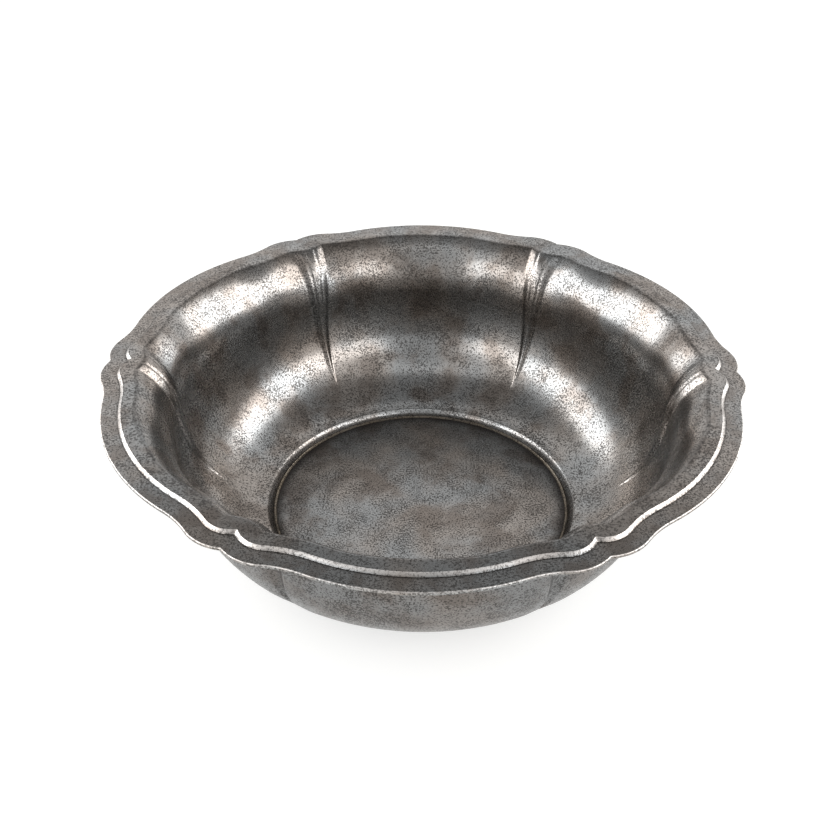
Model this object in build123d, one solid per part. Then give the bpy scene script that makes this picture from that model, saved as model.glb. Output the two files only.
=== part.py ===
# A six-lobed pewter bowl: a raised body with a turned-out flange, a flat border soldered
# under the flange, and a round floor soldered into a collar at the bottom.
# Millimetres, +Z up. The origin is the middle of the flat underside that the bowl stands on.
from build123d import *
from math import asin, cos, degrees, pi, radians, sin, tan
import os

# Plan of the outer edge. Half a lobe is a long arc, a hollow and a small shoulder that ends at a notch.
lobe_count = 6
lobe_centre = 36.7  # from the bowl's axis to the centre of the long arc
lobe_radius = 88.2
lobe_half_angle = 23.7  # degrees of long arc on each side of the lobe's middle
hollow_radius = 38.4
shoulder_radius = 18.7
notch_lean = 22.9  # degrees between the edge at the notch and a circle about the axis

# Gauges of the metal
body_gauge = 1.3
border_gauge = 1.4
floor_gauge = 1.5

# Flange and border, measured inwards from the outer edge
border_show = 6.3  # border left showing outside the body's flange
riser_run = 1.3  # slope of the flange's own edge
flange_width = 12.7  # to where the lip starts to turn down
lip_radius = 2.0
edge_break = 0.3  # bevel on the border's outer edge

# Wall, as leans from the vertical in degrees and as heights: it flares below the lip, stands steep
# in the middle and turns in at the belly
lip_lean = 50.0
steep_lean = 3.0
belly_lean = 17.5
foot_lean = 81.3
flare_height = 24.0
steep_wall_height = 17.5
lower_wall_height = 26.2

# Lobes: each side of a notch, the wall dips inwards near the lip, and a rib stands at the notch
dip_depth = 1.8
dip_angle = 11.5  # degrees from the notch to the deepest place
dip_reach = 9.5  # degrees on each side of that place
dip_fade_share = 0.35  # where a dip ends, as a share of the way down the wall
rib_height = 2.4  # at the lip
rib_low_height = 1.3  # further down
rib_fall_share = 0.32  # where it has come down to that
rib_end_shares = (0.7, 0.92)  # where it starts and ends to fade
rib_angle = 3.9  # degrees from the rib's crest to its foot, at the lip
rib_point_share = 0.95  # where its two sides would meet
rib_curve = 2.0  # power of the rib's rounded section

# Collar and floor
collar_rise = 2.9
collar_lean = 45.0
collar_round = 1.6
floor_clearance = 0.1  # round the edge of the floor, covered by its solder

# Solder beads
floor_bead = 0.8
rim_bead = 1.1

# How finely the skins follow their curves
lobe_point_count = 33
collar_band_count = 3
lower_band_count = 9
steep_band_count = 3
flare_band_count = 7
lip_band_count = 4

half_lobe = 180 / lobe_count

# Levels from the surface that the bowl stands on
floor_top = floor_gauge
collar_top = floor_top + collar_rise
belly_level = collar_top + lower_wall_height
steep_level = belly_level + steep_wall_height
lip_level = steep_level + flare_height
flange_top = lip_level + lip_radius * (1 - sin(radians(lip_lean)))
rim_level = flange_top - body_gauge
wall_height = lip_level - collar_top

# Radii at the middle of a lobe
lobe_tip = lobe_centre + lobe_radius
lip_centre = lobe_tip - flange_width
lip_wall = lip_centre - lip_radius * cos(radians(lip_lean))
flare_radius = flare_height / (sin(radians(lip_lean)) - sin(radians(steep_lean)))
steep_radius = steep_wall_height / (sin(radians(belly_lean)) - sin(radians(steep_lean)))
lower_radius = lower_wall_height / (sin(radians(foot_lean)) - sin(radians(belly_lean)))
steep_wall = lip_wall - flare_radius * (cos(radians(steep_lean)) - cos(radians(lip_lean)))
belly = steep_wall - steep_radius * (cos(radians(steep_lean)) - cos(radians(belly_lean)))
floor_edge = belly - lower_radius * (cos(radians(belly_lean)) - cos(radians(foot_lean)))
collar_slope = tan(radians(collar_lean))


# Direction square to the profile where it leans by lean: outwards and down, as radius and level
def slant(lean):
    return Vector(cos(radians(lean)), -sin(radians(lean)))


# Centres of the profile's arcs, as radius and level
lip_centre_point = Vector(lip_centre, flange_top - lip_radius)
flare_centre = Vector(lip_wall, lip_level) + slant(lip_lean) * flare_radius
steep_centre = Vector(belly, belly_level) - slant(belly_lean) * steep_radius
lower_centre = Vector(belly, belly_level) - slant(belly_lean) * lower_radius
round_reach = collar_round / (1 + slant(collar_lean).dot(slant(foot_lean)))
round_centre = Vector(floor_edge, collar_top) + (slant(collar_lean) + slant(foot_lean)) * round_reach


def polar(radius, angle, z):
    return Vector(radius * cos(radians(angle)), radius * sin(radians(angle)), z)


# The outer edge's outline moved inwards by inset: every arc keeps its centre, so the border stays
# equally wide all round.
def outline(inset, z):
    notch_reach = shoulder_radius * sin(radians(notch_lean))
    hollow_turn = (
        (lobe_radius + hollow_radius) * sin(radians(lobe_half_angle - half_lobe))
        - lobe_centre * sin(radians(half_lobe))
        + notch_reach
    ) / (hollow_radius + shoulder_radius)
    hollow_end = half_lobe + degrees(asin(hollow_turn))
    notch_facing = half_lobe + degrees(asin(notch_reach / (shoulder_radius - inset)))
    long_centre = Vector(lobe_centre, 0, z)
    hollow_centre = long_centre + polar(lobe_radius + hollow_radius, lobe_half_angle, 0)
    shoulder_centre = hollow_centre - polar(hollow_radius + shoulder_radius, hollow_end, 0)
    runs = [
        (long_centre, lobe_radius - inset, -lobe_half_angle, lobe_half_angle),
        (hollow_centre, -hollow_radius - inset, lobe_half_angle, hollow_end),
        (shoulder_centre, shoulder_radius - inset, hollow_end, notch_facing),
    ]
    half = [
        [centre + polar(radius, angle, 0) for angle in (start, (start + end) / 2, end)]
        for centre, radius, start, end in runs
    ]
    mirrored = [[Vector(p.X, -p.Y, p.Z) for p in reversed(arc)] for arc in reversed(half[1:])]
    edges = []
    for lobe in range(lobe_count):
        turn = half_lobe * (2 * lobe + 1)
        for arc in mirrored + half:
            edges.append(Edge.make_three_point_arc(*[p.rotate(Axis.Z, turn) for p in arc]))
    return Wire(edges)


# One until start, nothing from end on, and a smooth S between them
def fade(share, start, end):
    part = min(max((share - start) / (end - start), 0), 1)
    return 1 - part * part * (3 - 2 * part)


# How far the wall stands outside a lobe's middle radius, at an angle from the notch and a share of
# the way down the wall: a dip is a squared cosine, and a rib a rounded ridge with a crease on each side.
def ripple(angle, share):
    phase = min(max((angle - dip_angle) / dip_reach, -1), 1)
    dip = dip_depth * fade(share, 0, dip_fade_share) * cos(pi / 2 * phase) ** 2
    fall = rib_low_height + (rib_height - rib_low_height) * fade(share, 0, rib_fall_share)
    foot = rib_angle * (1 - share / rib_point_share)
    rib = 0
    if angle < foot:
        rib = fall * fade(share, *rib_end_shares) * (1 - (angle / foot) ** rib_curve)
    return -dip - rib


def wall_section(middle_radius, share, z):
    edges = []
    for lobe in range(lobe_count):
        points = []
        for step in range(lobe_point_count):
            angle = half_lobe * (1 - cos(pi * step / (lobe_point_count - 1)))
            radius = middle_radius + ripple(min(angle, 2 * half_lobe - angle), share)
            points.append(polar(radius, 2 * half_lobe * lobe + angle, z))
        edges.append(Edge.make_spline(points))
    return Wire(edges)


# One skin of the body, from the surface that it stands on up to the flange: the collar's cone and
# its rounded top, the three arcs of the wall, and the lip. The outer skin is the inner one moved out
# by the body's gauge, which takes it to the flange's underside.
def skin(outward):
    arcs = [
        (round_centre, -collar_round, collar_lean, foot_lean, collar_band_count),
        (lower_centre, lower_radius, foot_lean, belly_lean, lower_band_count),
        (steep_centre, steep_radius, belly_lean, steep_lean, steep_band_count),
        (flare_centre, -flare_radius, steep_lean, lip_lean, flare_band_count),
        (lip_centre_point, -lip_radius, lip_lean, 90, lip_band_count),
    ]
    points = []
    for centre, radius, start, end, band_count in arcs:
        for step in range(1 if points else 0, band_count + 1):
            out = slant(start + (end - start) * step / band_count)
            inner = centre + out * radius
            points.append((inner + out * outward, (lip_level - inner.Y) / wall_height))
    cone_top = points[0][0]
    foot = Vector(cone_top.X - cone_top.Y * collar_slope, 0)
    sections = [wall_section(point.X, share, point.Y) for point, share in [(foot, 1), *points]]
    return Solid.make_loft(sections, ruled=True)


def plate(outlines):
    return Solid.make_loft(outlines, ruled=True)


def sides(solid):
    return solid.faces().filter_by(GeomType.PLANE, reverse=True)


def end_wire(solid, end):
    return solid.faces().filter_by(GeomType.PLANE).sort_by(Axis.Z)[end].outer_wire()


def turned(points):
    return revolve(Face(Wire.make_polygon([(radius, 0, z) for radius, z in points])), Axis.Z)


# The body is one sheet: its two skins, the flange's sloped edge, and the flat rings between them
def make_body():
    inside = skin(0)
    outside = skin(body_gauge)
    edge = plate([outline(border_show, rim_level), outline(border_show + riser_run, flange_top)])
    rings = [
        Face(end_wire(edge, -1), [end_wire(inside, -1)]),
        Face(end_wire(edge, 0), [end_wire(outside, -1)]),
        Face(end_wire(outside, 0), [end_wire(inside, 0)]),
    ]
    return Solid(Shell([*sides(inside), *sides(outside), *sides(edge), *rings]))


# Under the flange, the border's inner edge stands clear of the wall by the width of its solder
def make_border():
    under = rim_level - border_gauge
    strip = plate(
        [
            outline(edge_break, under),
            outline(0, under + edge_break),
            outline(0, rim_level - edge_break),
            outline(edge_break, rim_level),
        ]
    )
    opening = plate([wall_section(lip_centre + rim_bead, 0, z) for z in (under, rim_level)])
    rings = [Face(end_wire(strip, end), [end_wire(opening, end)]) for end in (0, -1)]
    return Solid(Shell([*sides(strip), *sides(opening), *rings]))


# A three-sided bead in the corner of the flange's underside and the border's inner edge
def make_rim_solder():
    low = wall_section(lip_centre + rim_bead, 0, rim_level - rim_bead)
    outer = plate([low, wall_section(lip_centre + rim_bead, 0, rim_level)])
    slope = plate([low, wall_section(lip_centre, 0, rim_level)])
    ring = Face(end_wire(outer, -1), [end_wire(slope, -1)])
    return Solid(Shell([*sides(outer), *sides(slope), ring]))


def make_floor():
    gap = floor_clearance / cos(radians(collar_lean))
    lower = floor_edge - collar_top * collar_slope - gap
    upper = floor_edge - collar_rise * collar_slope - gap
    return turned([(0, 0), (lower, 0), (upper, floor_top), (0, floor_top)])


# A three-sided bead in the corner of the floor and the collar
def make_floor_solder():
    corner = floor_edge - collar_rise * collar_slope
    climb = floor_bead * cos(radians(collar_lean))
    return turned(
        [
            (corner - floor_bead, floor_top),
            (corner, floor_top),
            (corner + climb * collar_slope, floor_top + climb),
        ]
    )


pieces = {
    "bowl_body": make_body,
    "rim_border": make_border,
    "rim_solder": make_rim_solder,
    "floor_disc": make_floor,
    "floor_solder": make_floor_solder,
}

os.makedirs("parts", exist_ok=True)
for name, make in pieces.items():
    piece = make()
    export_step(piece, f"parts/{name}.step")
    print(name, len(piece.solids()), "solid", round(piece.volume), "mm3", piece.is_valid)
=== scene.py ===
import bpy
import numpy as np
from mathutils import Matrix, Vector


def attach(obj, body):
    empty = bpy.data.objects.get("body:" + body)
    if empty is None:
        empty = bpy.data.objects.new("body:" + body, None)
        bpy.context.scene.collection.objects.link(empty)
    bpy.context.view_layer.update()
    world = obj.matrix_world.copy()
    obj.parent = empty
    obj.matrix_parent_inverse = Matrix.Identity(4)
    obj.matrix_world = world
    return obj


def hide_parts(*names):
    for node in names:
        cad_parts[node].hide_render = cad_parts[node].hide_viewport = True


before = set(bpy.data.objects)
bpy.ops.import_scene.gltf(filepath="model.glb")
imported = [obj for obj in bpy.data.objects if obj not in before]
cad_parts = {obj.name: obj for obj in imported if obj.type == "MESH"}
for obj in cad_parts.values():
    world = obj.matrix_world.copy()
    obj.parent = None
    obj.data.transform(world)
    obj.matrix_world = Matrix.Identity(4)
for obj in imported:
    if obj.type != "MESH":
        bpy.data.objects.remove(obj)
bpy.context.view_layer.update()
print("frame loaded:", ", ".join(sorted(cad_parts)))

mm = 0.001

# Plan of the outer edge: half a lobe is a long arc, a hollow and a small shoulder that ends at a notch
plan = {
    "lobes": 6,
    "lobeCentre": 36.7 * mm,  # from the bowl's axis to the centre of the long arc
    "lobeRadius": 88.2 * mm,
    "lobeHalfAngle": 23.7,  # degrees
    "hollowRadius": 38.4 * mm,
    "shoulderRadius": 18.7 * mm,
    "notchLean": 22.9,  # degrees between the edge at the notch and a circle about the axis
}

# Inside of the wall at the middle of a lobe; leans are degrees from the vertical
wall = {
    "lipRadius": 2.0 * mm,
    "flangeWidth": 12.7 * mm,  # from the outer edge to where the lip turns down
    "lipLean": 50.0,
    "steepLean": 3.0,
    "bellyLean": 17.5,
    "footLean": 81.3,
    "flareHeight": 24.0 * mm,
    "steepHeight": 17.5 * mm,
    "lowerHeight": 26.2 * mm,
    "collarRise": 2.9 * mm,
    "collarLean": 45.0,
    "collarRound": 1.6 * mm,
    "gauge": 1.3 * mm,
}

# Lobes: near the lip the wall dips inwards on each side of a notch, and a rib stands at the notch itself
lobe = {
    "dipDepth": 1.8 * mm,
    "dipAngle": 11.5,  # degrees from the notch to the deepest place
    "dipReach": 9.5,  # degrees on each side of that place
    "dipFadeShare": 0.35,  # shares here are of the way down the wall
    "ribHeight": 2.4 * mm,  # at the lip
    "ribLowHeight": 1.3 * mm,  # further down
    "ribFallShare": 0.32,  # where it has come down to that
    "ribEndShares": (0.7, 0.92),  # where it starts and ends to fade
    "ribAngle": 3.9,  # degrees from the rib's crest to its foot, at the lip
    "ribPointShare": 0.95,  # where its two sides would meet
    "ribLeastShare": 0.01,  # of its width at the lip, which it keeps past that
    "ribCurve": 2.0,  # power of the rib's rounded section
    "lineDepth": 0.25 * mm,  # chased line on each side of a rib's crest, too fine for the CAD model
    "linePlace": 0.37,  # where it lies between crest and foot
    "lineReach": 0.15,  # half its width, of the same way
    "lineEndShares": (0.25, 0.5),
    "fluteDepth": 0.8 * mm,  # soft flute outside each rib
    "fluteReach": 5.5,  # degrees on each side of the rib's crest
}

# Flange and border, and the sheets' own edges
rim = {
    "show": 6.3 * mm,  # border left showing outside the flange
    "run": 1.3 * mm,  # slope of the flange's edge
    "flangeEdge": 0.35 * mm,  # rounding of the flange's top edge
    "borderGauge": 1.4 * mm,
    "borderEdge": 0.45 * mm,
    "bead": 1.1 * mm,  # solder under the flange
}

floor = {
    "gauge": 1.5 * mm,
    "clearance": 0.1 * mm,
    "edge": 0.25 * mm,
    "bead": 0.8 * mm,
}

halfLobe = 180 / plan["lobes"]
floorTop = floor["gauge"]
collarTop = floorTop + wall["collarRise"]
bellyLevel = collarTop + wall["lowerHeight"]
steepLevel = bellyLevel + wall["steepHeight"]
lipLevel = steepLevel + wall["flareHeight"]
flangeTop = lipLevel + wall["lipRadius"] * (1 - np.sin(np.radians(wall["lipLean"])))
rimLevel = flangeTop - wall["gauge"]
wallHeight = lipLevel - collarTop
lipCentre = plan["lobeCentre"] + plan["lobeRadius"] - wall["flangeWidth"]


def direction(lean):  # square to the profile where it leans by lean: outwards and down
    return np.stack([np.cos(np.radians(lean)), -np.sin(np.radians(lean))], -1)


# Polar radius of the outer edge moved inwards by inset: where a ray from the axis meets the long arc, the
# hollow or the shoulder, whose centres stay and whose radii change by inset.
def edgeRadius(angle, inset):
    turn = np.mod(angle, 2 * halfLobe) - halfLobe  # 0 at the middle of a lobe
    turn = np.radians(np.abs(turn))
    half = np.radians(halfLobe)
    long, hollow, shoulder = plan["lobeRadius"], plan["hollowRadius"], plan["shoulderRadius"]
    start = np.radians(plan["lobeHalfAngle"])
    reach = shoulder * np.sin(np.radians(plan["notchLean"]))
    # both arcs end facing this way, which puts the notch on the line between two lobes
    across = (long + hollow) * np.sin(start - half) - plan["lobeCentre"] * np.sin(half) + reach
    end = half + np.arcsin(across / (hollow + shoulder))
    longCentre = np.array([plan["lobeCentre"], 0.0])
    hollowCentre = longCentre + (long + hollow) * np.array([np.cos(start), np.sin(start)])
    shoulderCentre = hollowCentre - (hollow + shoulder) * np.array([np.cos(end), np.sin(end)])
    ray = np.stack([np.cos(turn), np.sin(turn)], -1)

    def meet(centre, radius, side):
        along = ray @ centre
        return along + side * np.sqrt(np.maximum(radius**2 - centre @ centre + along**2, 0))

    def polarAngle(centre, radius, facing):
        point = centre + radius[..., None] * np.array([np.cos(facing), np.sin(facing)])
        return np.arctan2(point[..., 1], point[..., 0])

    inset = np.asarray(inset) + np.zeros_like(turn)
    first = polarAngle(longCentre, long - inset, start)
    second = polarAngle(shoulderCentre, shoulder - inset, end)
    return np.where(
        turn < first,
        meet(longCentre, long - inset, 1),
        np.where(
            turn < second,
            meet(hollowCentre, hollow + inset, -1),
            meet(shoulderCentre, shoulder - inset, 1),
        ),
    )


def fade(share, start, end):  # one until start, nothing from end on, a smooth S between
    part = np.clip((share - start) / (end - start), 0, 1)
    return 1 - part * part * (3 - 2 * part)


# How far the wall stands outside a lobe's middle radius. A dip is a squared cosine across the lobe. A rib is
# a parabola across its crest that ends in a crease on each side, and it narrows down the wall. A chased line
# and a flute are squared cosines too.
def ripple(angle, share, outside=False):
    turn = np.mod(angle, 2 * halfLobe)
    turn = np.minimum(turn, 2 * halfLobe - turn)
    phase = np.clip((turn - lobe["dipAngle"]) / lobe["dipReach"], -1, 1)
    dip = lobe["dipDepth"] * fade(share, 0, lobe["dipFadeShare"]) * np.cos(np.pi / 2 * phase) ** 2
    extra = lobe["ribHeight"] - lobe["ribLowHeight"]
    fall = lobe["ribLowHeight"] + extra * fade(share, 0, lobe["ribFallShare"])
    end = fade(share, *lobe["ribEndShares"])
    foot = lobe["ribAngle"] * np.maximum(1 - share / lobe["ribPointShare"], lobe["ribLeastShare"])
    rib = fall * end * np.maximum(1 - (turn / foot) ** lobe["ribCurve"], 0)
    if outside:
        across = np.clip(turn / lobe["fluteReach"], 0, 1)
        return -dip - rib - lobe["fluteDepth"] * end * np.cos(np.pi / 2 * across) ** 2
    across = np.clip((turn / foot - lobe["linePlace"]) / lobe["lineReach"], -1, 1)
    line = lobe["lineDepth"] * fade(share, *lobe["lineEndShares"]) * np.cos(np.pi / 2 * across) ** 2
    return -dip - rib + line


# The inner profile's arcs from the collar up to the lip, as rows of (centre, radius, lower lean, upper lean,
# steps), and the radius of the floor's edge. Between two leans an arc runs sideways by its height times the
# tangent of their mean.
def profileArcs(counts):
    def run(height, lower, upper):
        return wall[height] * np.tan(np.radians((wall[lower] + wall[upper]) / 2))

    def radiusOf(height, steep, flat):
        return wall[height] / (np.sin(np.radians(wall[flat])) - np.sin(np.radians(wall[steep])))

    lip, steep, belly, foot = (direction(wall[k]) for k in ("lipLean", "steepLean", "bellyLean", "footLean"))
    lipWall = np.array([lipCentre - wall["lipRadius"] * lip[0], lipLevel])
    bellyPoint = np.array([lipWall[0] - run("flareHeight", "steepLean", "lipLean")
                           - run("steepHeight", "bellyLean", "steepLean"), bellyLevel])
    floorEdge = bellyPoint[0] - run("lowerHeight", "footLean", "bellyLean")
    flareRadius = radiusOf("flareHeight", "steepLean", "lipLean")
    steepRadius = radiusOf("steepHeight", "steepLean", "bellyLean")
    lowerRadius = radiusOf("lowerHeight", "bellyLean", "footLean")
    collar = direction(wall["collarLean"])
    roundReach = wall["collarRound"] / (1 + collar @ foot)
    roundCentre = np.array([floorEdge, collarTop]) + (collar + foot) * roundReach
    lipMiddle = np.array([lipCentre, flangeTop - wall["lipRadius"]])
    arcs = [
        (roundCentre, -wall["collarRound"], wall["collarLean"], wall["footLean"], counts[0]),
        (bellyPoint - belly * lowerRadius, lowerRadius, wall["footLean"], wall["bellyLean"], counts[1]),
        (bellyPoint - belly * steepRadius, steepRadius, wall["bellyLean"], wall["steepLean"], counts[2]),
        (lipWall + lip * flareRadius, -flareRadius, wall["steepLean"], wall["lipLean"], counts[3]),
        (lipMiddle, -wall["lipRadius"], wall["lipLean"], 90, counts[4]),
    ]
    return arcs, floorEdge


# Inner profile from the collar's foot to the flange, as rows of (radius, level, share down the wall); outward
# moves it out square to itself, which gives the outer skin.
def wallProfile(outward, counts):
    rows = []
    for centre, radius, start, end, count in profileArcs(counts)[0]:
        out = direction(np.linspace(start, end, count + 1)[1 if rows else 0:])
        inner = centre + out * radius
        point = inner + out * outward
        rows.append(np.column_stack([point, (lipLevel - inner[:, 1]) / wallHeight]))
    rows = np.concatenate(rows)
    slope = np.tan(np.radians(wall["collarLean"]))
    foot = [rows[0, 0] - rows[0, 1] * slope, 0, rows[0, 2]]
    return np.vstack([foot, rows])


# Angles of the columns: close together at a notch and its rib, wider towards the middle of a lobe. The angle
# grows with the step by evenShare, and with its cube by the rest.
def columns(perHalfLobe, evenShare):
    step = np.linspace(0, 1, perHalfLobe + 1)
    rise = halfLobe * (evenShare * step + (1 - evenShare) * step**3)
    across = np.concatenate([rise, 2 * halfLobe - rise[-2:0:-1]])
    return np.concatenate([across + 2 * halfLobe * k for k in range(plan["lobes"])])


# A grid of rings that closes round the axis; the last row joins the first too, so the sheet has no open edge.
# The point attribute goes from -1, an edge rubbed bright, over 0 to 1, black painted in as shade.
def ringSurface(name, radius, level, angle, wearAndShade):
    rows, cols = radius.shape
    turn = np.radians(angle)
    points = np.stack([radius * np.cos(turn), radius * np.sin(turn), level + np.zeros_like(radius)], -1)
    r0 = np.arange(rows)[:, None]
    c0 = np.arange(cols)[None, :]
    r1, c1 = (r0 + 1) % rows, (c0 + 1) % cols
    faces = np.stack([r0 * cols + c0, r0 * cols + c1, r1 * cols + c1, r1 * cols + c0], -1).reshape(-1, 4)
    return meshPiece(name, points.reshape(-1, 3), faces.tolist(), wearAndShade + np.zeros_like(radius))


def meshPiece(name, points, faces, wearAndShade):
    mesh = bpy.data.meshes.new(name)
    mesh.from_pydata(points, [], faces)
    mesh.polygons.foreach_set("use_smooth", np.ones(len(faces), bool))
    attribute = mesh.attributes.new("wearAndShade", "FLOAT", "POINT")
    attribute.data.foreach_set("value", np.ravel(wearAndShade).astype(np.float32))
    mesh.update()
    piece = bpy.data.objects.new(name, mesh)
    bpy.context.scene.collection.objects.link(piece)
    return piece


# Where the photograph is taken from: the distance, elevation and azimuth are from the middle of the rim, and
# roll, pan and tilt are the camera's own small turns, all in degrees
camera = {
    "focal": 1103.62,  # pixels of an 830-pixel frame
    "distance": 434.70 * mm,
    "elevation": 33.2056,
    "azimuth": 0.8534,
    "roll": 0.5538,
    "pan": -0.3625,
    "tilt": 2.5451,
    "frame": 830,
    "sensor": 36.0,
    "nearest": 10 * mm,
    "farthest": 50.0,
}


def makeCamera():
    el, az = np.radians(camera["elevation"]), np.radians(camera["azimuth"])
    roll, pan, tilt = (np.radians(camera[k]) for k in ("roll", "pan", "tilt"))
    away = np.array([np.sin(az) * np.cos(el), -np.cos(az) * np.cos(el), np.sin(el)])
    right = np.cross(-away, [0, 0, 1])
    right /= np.linalg.norm(right)
    up = np.cross(right, -away)
    right, up = np.cos(roll) * right + np.sin(roll) * up, np.cos(roll) * up - np.sin(roll) * right
    base = np.stack([right, up, away])
    panTurn = np.array([[np.cos(pan), 0, np.sin(pan)], [0, 1, 0], [-np.sin(pan), 0, np.cos(pan)]])
    tiltTurn = np.array([[1, 0, 0], [0, np.cos(tilt), -np.sin(tilt)], [0, np.sin(tilt), np.cos(tilt)]])
    data = bpy.data.cameras.new("camera")
    data.sensor_width = camera["sensor"]
    data.lens = camera["focal"] / camera["frame"] * camera["sensor"]
    data.clip_start, data.clip_end = camera["nearest"], camera["farthest"]
    cam = bpy.data.objects.new("camera", data)
    bpy.context.scene.collection.objects.link(cam)
    matrix = Matrix((tiltTurn @ panTurn @ base).T.tolist()).to_4x4()
    matrix.translation = Vector(away * camera["distance"] + np.array([0, 0, rimLevel]))
    cam.matrix_world = matrix
    bpy.context.scene.camera = cam
    print("camera made")


makeCamera()

# How finely the body follows its curves, and its rubbed edges and painted shade: black is painted in as shade
# where the value is above 0
bodyMesh = {
    "columnsPerHalfLobe": 44,
    "evenShare": 0.35,
    "innerCounts": (7, 26, 10, 26, 9),  # steps of the five arcs, from the collar up
    "outerCounts": (3, 18, 8, 16, 6),
    "flangeShares": (0.06, 0.3, 0.6, 0.88, 0.94),  # rows between the lip and the flange's edge
    "underShares": (0.05, 0.35, 0.7),  # rows under the flange
    "edgeSteps": 6,
    "cornerReach": 0.8 * mm,  # how far the painted shade reaches from a corner
    "ribReach": 0.5 * mm,  # and from the middle of a rib, outside
    "ribShade": 0.6,
    "outsideShade": 0.42,  # painted shade over the whole outside, which mirrors the shadowed floor
    # painted shade under the flange
    "underShade": 0.5,
    "lipShade": 0.4,  # painted shade: thin dark line in the bend of the lip
    "lipReach": 0.7 * mm,
    "edgeRub": -0.4,
    "edgeShade": 0.5,  # painted shade: thin dark line along the flange, just inside its rubbed edge
    # down the slope of the flange's edge: share of the way, and value, rubbed bright at the top and painted
    # shade at the foot
    "riserWearAndShade": [(0.3, -0.35), (0.55, -0.2), (0.75, 0.1), (1.0, 0.4)],
}
floorEdge = profileArcs(bodyMesh["innerCounts"])[1]
angles = columns(bodyMesh["columnsPerHalfLobe"], bodyMesh["evenShare"])
turnFromNotch = np.minimum(np.mod(angles, 2 * halfLobe), 2 * halfLobe - np.mod(angles, 2 * halfLobe))


def nearness(distance, width):  # one at no distance, fading as a bell
    return np.exp(-((distance / width) ** 2))


# One closed sheet: up the inner skin, out along the flange, round its edge, back below it and down the
# outer skin
def makeBowlBody():
    inner = wallProfile(0, bodyMesh["innerCounts"])
    outer = wallProfile(wall["gauge"], bodyMesh["outerCounts"])
    lines = []
    for radius, level, share in inner:
        # painted shade: black at the corner above the floor and in the bend of the lip
        black = nearness(level - floorTop, bodyMesh["cornerReach"])
        black += bodyMesh["lipShade"] * nearness(flangeTop - level, bodyMesh["lipReach"])
        lines.append((radius + ripple(angles, share), level, black))
    lip = lines[-1][0]
    edge, slope = rim["flangeEdge"], np.arctan2(wall["gauge"], rim["run"])
    topInset = rim["show"] + rim["run"] + edge * np.tan(slope / 2)
    top = edgeRadius(angles, topInset)
    for part in bodyMesh["flangeShares"]:
        lines.append((lip + (top - lip) * part, flangeTop, 0))
    # the flange's edge is rubbed bright, with a thin line of painted shade where it starts
    for turn in np.linspace(0, slope, bodyMesh["edgeSteps"]):
        inset = topInset - edge * np.sin(turn)
        wearAndShade = bodyMesh["edgeRub"] * turn / slope if turn else bodyMesh["edgeShade"]
        lines.append((edgeRadius(angles, inset), flangeTop - edge + edge * np.cos(turn), wearAndShade))
    startLevel = lines[-1][1]
    # the slope is rubbed bright at the top and painted with shade towards its foot
    for part, wearAndShade in bodyMesh["riserWearAndShade"]:
        level = startLevel + (rimLevel - startLevel) * part
        lines.append((edgeRadius(angles, inset + (rim["show"] - inset) * part), level, wearAndShade))
    under = edgeRadius(angles, rim["show"])
    outerTop = outer[-1][0] + ripple(angles, outer[-1][2], True)
    # painted shade under the flange
    for part in bodyMesh["underShares"]:
        lines.append((under + (outerTop - under) * part, rimLevel, bodyMesh["underShade"]))
    for radius, level, share in outer[::-1]:
        # painted shade in the groove behind each rib, and over the whole outside
        black = bodyMesh["ribShade"] * nearness(np.radians(turnFromNotch) * radius, bodyMesh["ribReach"])
        black = np.maximum(black, bodyMesh["outsideShade"])
        lines.append((radius + ripple(angles, share, True), level, black))
    radius = np.stack([line[0] for line in lines])
    level = np.array([line[1] for line in lines])[:, None]
    wearAndShade = np.stack([line[2] + 0 * angles for line in lines])
    return ringSurface("bowlBody", radius[::-1], level[::-1], angles, wearAndShade[::-1])


borderMesh = {
    "underShares": (0.5, 0.9),  # rows on the underside, from the inner edge out
    "topShares": (0.15, 0.55, 0.8, 0.93, 0.97, 1.0),  # rows on the top, from the outer edge in
    "edgeSteps": 14,
    # painted shade under the flange, on the border's inner edge and its underside
    "insideShade": 0.5,
    "underShade": 0.2,
    "seamShade": 0.6,  # painted shade along the foot of the step
    "seamReach": bodyMesh["cornerReach"] / 3,
}


# The border strip: out along the underside, up round both outer corners, of which the upper one is rubbed
# bright, and back in on top
def makeRimBorder():
    gauge, edge = rim["borderGauge"], rim["borderEdge"]
    inside = lipCentre + rim["bead"] + ripple(angles, 0)
    outline = edgeRadius(angles, edge)
    foot = edgeRadius(angles, rim["show"])
    lines = [(inside, rimLevel - gauge, borderMesh["insideShade"])]
    for part in borderMesh["underShares"]:
        lines.append((inside + (outline - inside) * part, rimLevel - gauge, borderMesh["underShade"]))
    for turn in np.linspace(-90, 90, borderMesh["edgeSteps"]):
        facing = np.radians(turn)
        level = rimLevel - gauge / 2 + np.sign(turn) * (gauge / 2 - edge) + edge * np.sin(facing)
        lines.append((edgeRadius(angles, edge - edge * np.cos(facing)), level,
                      bodyMesh["edgeRub"] * max(np.sin(2 * facing), 0)))
    for part in borderMesh["topShares"]:
        seam = nearness((1 - part) * (rim["show"] - edge), borderMesh["seamReach"])
        lines.append((outline + (foot - outline) * part, rimLevel, borderMesh["seamShade"] * seam))
    # painted shade in full on the top, under the flange
    lines.append((inside, rimLevel, 1))
    radius = np.stack([line[0] for line in lines])
    level = np.array([line[1] for line in lines])[:, None]
    wearAndShade = np.stack([line[2] + 0 * angles for line in lines])
    return ringSurface("rimBorder", radius, level, angles, wearAndShade)


solderMesh = {
    "rimSteps": 7,
    # painted shade on the solder under the flange
    "rimShade": 0.3,
    "floorSteps": 6,
    # painted shade on the solder in the floor's corner
    "floorSolderShade": 0.5,
    "floorSag": 0.25,  # how far the face of the floor's bead dips, as a share of the bead
}


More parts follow.
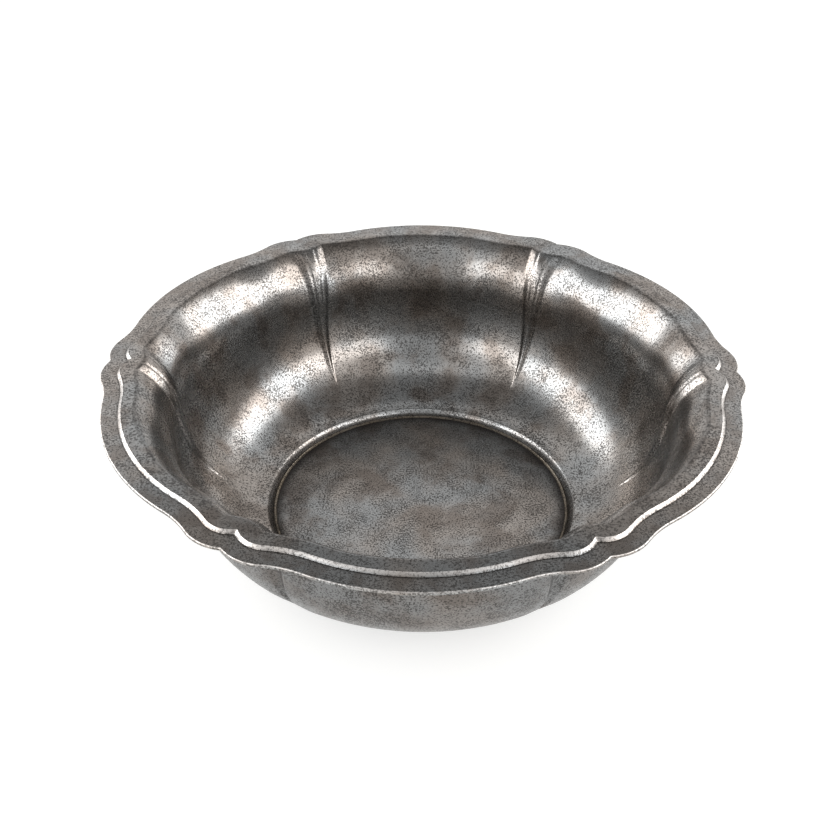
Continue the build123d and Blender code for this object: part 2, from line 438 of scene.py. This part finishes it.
# Solder drawn into the corner under the flange: its face is a hollow quarter circle
def makeRimSolder():
    bead = rim["bead"]
    turn = np.radians(np.linspace(90, 0, solderMesh["rimSteps"]))
    offsets = np.concatenate([[bead], bead * np.cos(turn)])
    levels = np.concatenate([[0], bead * np.sin(turn) - bead])
    radius = lipCentre + offsets[:, None] + ripple(angles, 0)
    level = (rimLevel + levels)[::-1, None]
    return ringSurface("rimSolder", radius[::-1], level, angles, solderMesh["rimShade"])


# A turned piece from rows of (radius, level); a row on the axis is a single point, so the poles are closed
def turnedSurface(name, rows, steps, wearAndShade):
    turn = np.arange(steps) / steps * 2 * np.pi
    points, starts = [], []
    for radius, level in rows:
        starts.append(sum(len(p) for p in points))
        around = turn if radius > 0 else turn[:1]
        points.append(np.stack([radius * np.cos(around), radius * np.sin(around), level + 0 * around], -1))
    faces = []
    here = np.arange(steps)
    after = (here + 1) % steps
    for low, high in zip(range(len(rows)), [*range(1, len(rows)), 0]):
        if rows[low][0] == 0 and rows[high][0] == 0:
            continue
        lower = [after, here] if rows[low][0] > 0 else [0 * here]
        upper = [here, after] if rows[high][0] > 0 else [0 * here]
        corners = [starts[low] + k for k in lower] + [starts[high] + k for k in upper]
        faces += np.stack(corners, -1).tolist()
    weights = np.concatenate([np.full(len(p), w) for p, w in zip(points, wearAndShade)])
    return meshPiece(name, np.concatenate(points), faces, weights)


floorMesh = {
    "steps": 192,  # round the axis
    "rings": 14,
    "edgeSteps": 4,
    "sag": 0.12 * mm,  # how far the disc's middle sinks below its edge
    "underShare": 0.5,  # where the ring under the disc lies, of its lower edge's radius
    # painted shade under the disc
    "underShade": 0.5,
    "edgeReach": bodyMesh["cornerReach"] / 2,  # how far the painted shade reaches from the edge
    "shadeBlack": 0.22,  # soft painted shade beyond it, towards the wall
    "shadeReach": 12 * mm,
}


# The floor plate: out along its flat underside, up its slanted edge, and in over a face that sags as a
# parabola
def makeFloorDisc():
    lean = np.radians(wall["collarLean"])
    gap = floor["clearance"] / np.cos(lean)
    upper = floorEdge - wall["collarRise"] * np.tan(lean) - gap
    lower = floorEdge - collarTop * np.tan(lean) - gap
    rows = [(0, 0), (lower * floorMesh["underShare"], 0), (lower, 0)]
    wearAndShade = [0, 0, floorMesh["underShade"]]
    edge = floor["edge"]
    # the slanted edge, in the gap beside the collar, is painted fully black as shade
    for facing in np.linspace(lean, 0, floorMesh["edgeSteps"]):
        rows.append((upper - edge * np.tan(lean / 2) + edge * np.sin(facing),
                     floorTop - edge + edge * np.cos(facing)))
        wearAndShade.append(1)
    for part in np.linspace(1, 0, floorMesh["rings"] + 1)[1:]:
        rows.append(((upper - edge) * part, floorTop - floorMesh["sag"] * (1 - part**2)))
        # painted shade near the edge, fading towards the middle
        away = (1 - part) * upper
        wearAndShade.append(max(nearness(away, floorMesh["edgeReach"]),
                        floorMesh["shadeBlack"] * nearness(away, floorMesh["shadeReach"])))
    return turnedSurface("floorDisc", rows, floorMesh["steps"], wearAndShade)


# Solder drawn into the corner of the floor and the collar: its face is a parabola that dips towards the
# corner
def makeFloorSolder():
    lean = np.radians(wall["collarLean"])
    corner = floorEdge - wall["collarRise"] * np.tan(lean)
    bead = floor["bead"]
    start = np.array([corner - bead, floorTop])
    end = np.array([corner + bead * np.sin(lean), floorTop + bead * np.cos(lean)])
    towards = np.array([np.sin(lean / 2), -np.cos(lean / 2)])
    rows = [(corner, floorTop)]
    for part in np.linspace(0, 1, solderMesh["floorSteps"]):
        sag = solderMesh["floorSag"] * bead * 4 * part * (1 - part)
        rows.append(tuple(end + (start - end) * part + towards * sag))
    return turnedSurface("floorSolder", rows, floorMesh["steps"], [solderMesh["floorSolderShade"]] * len(rows))


def linear(text):  # a colour written as sRGB hex, as linear values by the standard's own formula
    values = np.array([int(text[k:k + 2], 16) / 255 for k in (1, 3, 5)])
    values = np.where(values <= 0.04045, values / 12.92, ((values + 0.055) / 1.055) ** 2.4)
    return (*values.tolist(), 1.0)


# Adds a node with its own settings; inputs are values or the sockets that feed them
def addNode(nodes, kind, inputs=None, **settings):
    made = nodes.new(kind)
    for key, value in settings.items():
        setattr(made, key, value)
    for key, value in (inputs or {}).items():
        if isinstance(value, bpy.types.NodeSocket):
            nodes.id_data.links.new(value, made.inputs[key])
        else:
            made.inputs[key].default_value = value
    return made


# Antiqued pewter: sheet of a grey tin alloy, hammered smooth, blacked and rubbed back. The black stays as
# fine specks, brown shows in clouds with ragged edges, and the edges are rubbed bright; the same black is
# painted in as shade in corners, seams, creases and under the flange. It gives the eye a soft, slightly wavy
# mirror with a dull grain. Sizes are those of the real marks, but specks under 0.7 mm don't show in the
# render, so the finest are drawn at that.
pewter = {
    "cool": "#a1a2a2",  # rubbed face
    "warm": "#a9a29c",
    "bright": "#efe9e4",  # edges
    "brown": "#6e635b",  # thin patina
    "black": "#302d2b",  # patina left in specks, and painted shade in corners
    "tintSize": 30 * mm,  # areas of the cool and the warm grey
    "tintDetail": 2,
    "tintRange": (0.4, 0.6),
    "cloudSize": 15 * mm,
    "cloudDetail": 5,
    "cloudRange": (0.50, 0.60),
    "cloudStrength": 0.5,
    "cloudBreak": 0.12,  # how much the specks break up a cloud's edge
    "speckSize": 0.7 * mm,
    "speckDetail": 2,
    "speckRange": (0.40, 0.54),
    "speckStrength": 0.8,
    "speckRub": 0.5,  # share of the brightness that a rubbed edge keeps in a speck
    "ragged": 0.6,  # roughness of the noise behind specks and clouds
    "patchSize": 10 * mm,  # specks stand closer in some patches
    "patchDetail": 3,
    "patchRange": (0.35, 0.65),
    "patchShift": 0.05,
    "roughness": 0.22,
    "speckRoughness": 0.14,
    "cornerRoughness": 0.15,
    "speckHeight": 0.002 * mm,
    "waveSize": 13 * mm,  # planishing left by the hammer
    "waveDetail": 1,
    "waveHeight": 0.015 * mm,
}


def makePewter(name, values):
    material = bpy.data.materials.new(name)
    material.use_nodes = True
    nodes, links = material.node_tree.nodes, material.node_tree.links
    shader = nodes["Principled BSDF"]
    place = addNode(nodes, "ShaderNodeTexCoord").outputs["Object"]

    def noise(kind, **inputs):
        made = addNode(nodes, "ShaderNodeTexNoise", {
            "Vector": place, "Scale": 1 / values[kind + "Size"], "Detail": values[kind + "Detail"], **inputs})
        return made.outputs["Fac"]

    def remap(value, start, end, low=0.0, high=1.0):
        made = addNode(nodes, "ShaderNodeMapRange", {
            "Value": value, "From Min": start, "From Max": end, "To Min": low, "To Max": high})
        return made.outputs["Result"]

    def mix(factor, first, second):
        made = addNode(nodes, "ShaderNodeMixRGB", {"Fac": factor, "Color1": first, "Color2": second})
        return made.outputs["Color"]

    def calculate(operation, first, second):
        return addNode(nodes, "ShaderNodeMath", {0: first, 1: second}, operation=operation).outputs["Value"]

    # 1 in a black speck: fine noise past a level that the patches shift
    patches = remap(noise("patch"), *values["patchRange"], -values["patchShift"], values["patchShift"])
    grain = calculate("ADD", noise("speck", Roughness=values["ragged"]), patches)
    specks = remap(grain, values["speckRange"][1], values["speckRange"][0])
    # brown clouds, with edges broken up by the grain, whose middle value is a half
    cloud = calculate("ADD", noise("cloud", Roughness=values["ragged"]),
                      calculate("MULTIPLY", grain, values["cloudBreak"]))
    start, end = (level + values["cloudBreak"] / 2 for level in values["cloudRange"])
    clouds = remap(cloud, start, end, 0.0, values["cloudStrength"])
    wearAndShade = addNode(nodes, "ShaderNodeAttribute", attribute_name="wearAndShade").outputs["Fac"]
    # mask of the painted shade: where the attribute is above 0
    corner = remap(wearAndShade, 0, 1)
    rubbed = calculate("MULTIPLY", remap(wearAndShade, 0, -1), remap(specks, 0, 1, 1.0, values["speckRub"]))
    tint = remap(noise("tint"), *values["tintRange"])
    face = mix(tint, linear(values["cool"]), linear(values["warm"]))
    face = mix(clouds, face, linear(values["brown"]))
    face = mix(calculate("MULTIPLY", specks, values["speckStrength"]), face, linear(values["black"]))
    face = mix(rubbed, face, linear(values["bright"]))
    # painted shade: black laid over the face where the attribute is above 0
    face = mix(corner, face, linear(values["black"]))
    rough = calculate("ADD", values["roughness"], calculate("MULTIPLY", specks, values["speckRoughness"]))
    rough = calculate("ADD", rough, calculate("MULTIPLY", corner, values["cornerRoughness"]))
    height = calculate("SUBTRACT", calculate("MULTIPLY", noise("wave"), values["waveHeight"]),
                       calculate("MULTIPLY", specks, values["speckHeight"]))
    bump = addNode(nodes, "ShaderNodeBump", {"Height": height, "Distance": 1.0})
    shader.inputs["Metallic"].default_value = 1
    links.new(face, shader.inputs["Base Color"])
    links.new(rough, shader.inputs["Roughness"])
    links.new(bump.outputs["Normal"], shader.inputs["Normal"])
    return material


bodyPewter = makePewter("bodyPewter", pewter)
# the narrow border holds only small clouds, and the flat floor keeps large ones and a duller face
borderPewter = makePewter("borderPewter", {**pewter, "cloudSize": 10 * mm})
floorPewter = makePewter("floorPewter", {
    **pewter, "cloudSize": 22 * mm, "cloudStrength": 0.6, "roughness": 0.25})
# Soft solder, a tin alloy melted into the joints: a little warmer than the sheet, with fewer clouds
solder = makePewter("solder", {**pewter, "cool": "#a89e90", "warm": "#a99a86", "cloudStrength": 0.3})

pieces = [
    (makeBowlBody(), "bowl_body", "pewter_body", bodyPewter),
    (makeRimBorder(), "rim_border", "pewter_border", borderPewter),
    (makeRimSolder(), "rim_solder", "solder", solder),
    (makeFloorDisc(), "floor_disc", "pewter_floor", floorPewter),
    (makeFloorSolder(), "floor_solder", "solder", solder),
]
for piece, node, slot, material in pieces:
    piece.data.materials.append(material)
    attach(piece, "root")
    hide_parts(node)
    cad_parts[node].data.materials.clear()
    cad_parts[node].data.materials.append(material)
print("pieces made")

# Two large soft lamps at the sides and two smaller, weaker ones towards the front, white paper under and
# behind, and grey cards over the bowl and in front of it, which the metal shows as its dark parts. Sizes and
# places are in metres, and radiances are shares of white paper's.
studio = {
    "floorSize": 8.0,
    "floorColour": "#c4c4c2",
    "floorGlow": 0.59,  # what the camera and the metal see of the floor beside the lamps' own light
    "farGlow": 0.78,  # the same far off, where the lamps give little: it runs into the white behind
    "farReach": (0.65, 1.25),  # distances between which the one turns into the other
    "worldFill": 0.45,  # what the white surroundings give to everything dull
    # radiance and corners
    "cards": {
        "cardOver": (0.3, [(-0.2, -0.03, 0.3), (0.2, -0.03, 0.3), (0.2, 0.21, 0.3), (-0.2, 0.21, 0.3)]),
        "cardFront": (0.6, [(-0.3, -0.9, 0.0), (0.3, -0.9, 0.0), (0.3, -0.9, 1.4), (-0.3, -0.9, 1.4)]),
    },
    "lampDistance": 0.72,
    # azimuth and elevation in degrees, width, height, radiance
    "lamps": [
        (8, 27, 0.85, 0.50, 3.4),
        (171, 27, 0.85, 0.50, 3.4),
        (-45, 22, 0.50, 0.42, 1.9),
        (-137, 22, 0.50, 0.42, 1.9),
    ],
}
white = (1, 1, 1, 1)


def cameraView(nodes):  # 1 for what the camera, the metal's reflections and glass see, 0 for other light
    path = addNode(nodes, "ShaderNodeLightPath").outputs
    seen = path["Is Camera Ray"]
    for other in ("Is Glossy Ray", "Is Transmission Ray"):
        either = addNode(nodes, "ShaderNodeMath", {0: seen, 1: path[other]}, operation="MAXIMUM")
        seen = either.outputs["Value"]
    return seen


def stageSheet(name, corners, material):
    mesh = bpy.data.meshes.new(name)
    mesh.from_pydata(corners, [], [(0, 1, 2, 3)])
    mesh.materials.append(material)
    sheet = bpy.data.objects.new(name, mesh)
    bpy.context.scene.collection.objects.link(sheet)
    return sheet


def makeFloor():
    material = bpy.data.materials.new("studioPaper")
    material.use_nodes = True
    nodes = material.node_tree.nodes
    nodes.clear()
    dull = addNode(nodes, "ShaderNodeBsdfDiffuse", {"Color": linear(studio["floorColour"])})
    place = addNode(nodes, "ShaderNodeTexCoord").outputs["Object"]
    away = addNode(nodes, "ShaderNodeVectorMath", {0: place}, operation="LENGTH").outputs["Value"]
    near, far = studio["farReach"]
    level = addNode(nodes, "ShaderNodeMapRange", {
        "Value": away, "From Min": near, "From Max": far,
        "To Min": studio["floorGlow"], "To Max": studio["farGlow"]})
    strength = addNode(nodes, "ShaderNodeMath", {0: cameraView(nodes), 1: level.outputs["Result"]},
                       operation="MULTIPLY")
    glow = addNode(nodes, "ShaderNodeEmission", {"Color": white, "Strength": strength.outputs["Value"]})
    both = addNode(nodes, "ShaderNodeAddShader", {0: dull.outputs["BSDF"], 1: glow.outputs["Emission"]})
    addNode(nodes, "ShaderNodeOutputMaterial", {"Surface": both.outputs["Shader"]})
    half = studio["floorSize"] / 2
    corners = [(-half, -half, 0), (half, -half, 0), (half, half, 0), (-half, half, 0)]
    stageSheet("studioFloor", corners, material)


def makeCards():
    for name, (radiance, corners) in studio["cards"].items():
        material = bpy.data.materials.new(name)
        material.use_nodes = True
        nodes = material.node_tree.nodes
        nodes.clear()
        glow = addNode(nodes, "ShaderNodeEmission", {"Color": white, "Strength": radiance})
        addNode(nodes, "ShaderNodeOutputMaterial", {"Surface": glow.outputs["Emission"]})
        card = stageSheet(name, corners, material)
        card.visible_camera = card.visible_diffuse = card.visible_shadow = False


def makeLamps():
    for azimuth, elevation, width, height, radiance in studio["lamps"]:
        data = bpy.data.lights.new("softLamp", "AREA")
        data.shape = "RECTANGLE"
        data.size, data.size_y = width, height
        data.energy = radiance * np.pi * width * height  # watts of an even panel of that radiance
        lamp = bpy.data.objects.new("softLamp", data)
        bpy.context.scene.collection.objects.link(lamp)
        az, el = np.radians(azimuth), np.radians(elevation)
        facing = Vector((np.cos(az) * np.cos(el), np.sin(az) * np.cos(el), np.sin(el)))
        lamp.location = facing * studio["lampDistance"]
        lamp.rotation_euler = facing.to_track_quat("Z", "Y").to_euler()
        lamp.visible_camera = False


def makeWorld():
    world = bpy.data.worlds.new("studio")
    bpy.context.scene.world = world
    world.use_nodes = True
    nodes = world.node_tree.nodes
    background = nodes["Background"]
    background.inputs["Color"].default_value = white
    strength = addNode(nodes, "ShaderNodeMapRange", {
        "Value": cameraView(nodes), "To Min": studio["worldFill"]})
    world.node_tree.links.new(strength.outputs["Result"], background.inputs["Strength"])


makeFloor()
makeCards()
makeLamps()
makeWorld()
bpy.context.scene.view_settings.view_transform = "Standard"
print("studio made")
